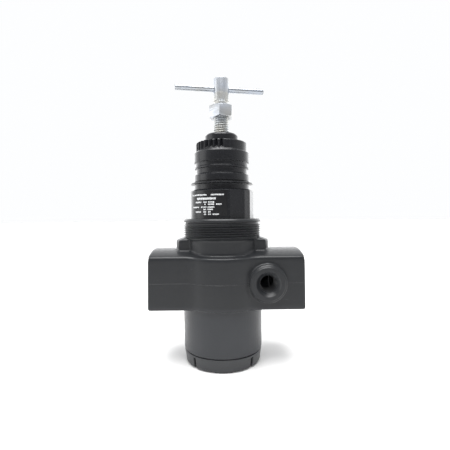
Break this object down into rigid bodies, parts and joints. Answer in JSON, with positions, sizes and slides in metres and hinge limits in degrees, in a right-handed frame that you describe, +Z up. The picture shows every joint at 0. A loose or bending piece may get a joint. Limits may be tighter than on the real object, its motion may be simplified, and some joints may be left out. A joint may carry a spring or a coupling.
{
  "type": "air pressure regulator",
  "caption": "In-line air pressure regulator: black cast body with side ports and gauge ports, threaded panel collar, ribbed bonnet and a tee-handle adjusting screw with a lock nut.",
  "frame": {"origin": "on the spool axis at the underside of the base plug, where the regulator stands", "axes": "+Z up along the spool and adjusting screw, +X towards the outlet port, -Y towards the front gauge port"},
  "size_m": [0.12, 0.072, 0.2345],
  "materials": {
    "cast_body": "cast, matte black coating",
    "bonnet": "cast, satin black coating",
    "label": "gloss film",
    "zinc": "bright zinc plate",
    "steel": "oiled",
    "brass": "machined",
    "rubber": "matte"
  },
  "bodies": {
    "housing": {"body": "cast_body", "bonnet": "bonnet", "rating_label": "label", "bottom_plug": "cast_body", "bottom_plug_o_ring": "rubber", "gauge_port_plug": "cast_body", "slip_ring": "steel", "diaphragm": "rubber", "valve_seat": "brass", "seat_o_ring": "rubber", "valve_spring": "steel"},
    "button": {"spring_button": "steel"},
    "screw": {"adjusting_screw": "zinc", "tommy_bar": "zinc"},
    "nut": {"lock_nut": "zinc"},
    "diaphragm_group": {"diaphragm_plate": "steel", "diaphragm_hub": "brass", "hub_nut": "brass", "range_spring": "steel"},
    "valve": {"valve_poppet": "brass", "poppet_seal": "rubber", "valve_stem": "steel", "stem_o_ring": "rubber"}
  },
  "joints": [
    {"name": "button_slide", "type": "slide", "parent": "housing", "child": "button", "axis": [0, 0, 1], "range_m": [-0.00733, 0], "deforming": ["range_spring"]},
    {"name": "screw_turn", "type": "hinge", "parent": "button", "child": "screw", "pos_m": [0, 0, 0.16], "axis": [0, 0, 1], "range_deg": [-1350, 0]},
    {"name": "nut_travel", "type": "slide", "parent": "screw", "child": "nut", "axis": [0, 0, 1], "range_m": [-0.0055, 0]},
    {"name": "diaphragm_lift", "type": "slide", "parent": "housing", "child": "diaphragm_group", "axis": [0, 0, 1], "range_m": [-0.002, 0], "stiffness_N_per_m": 8000, "deforming": ["diaphragm"]},
    {"name": "valve_lift", "type": "slide", "parent": "housing", "child": "valve", "axis": [0, 0, 1], "range_m": [-0.002, 0], "deforming": ["valve_spring"]}
  ],
  "couplings": [
    {"joint": "screw_turn", "follows": "button_slide", "rad_per_m": 3215.5},
    {"joint": "valve_lift", "follows": "diaphragm_lift", "ratio": 1}
  ]
}
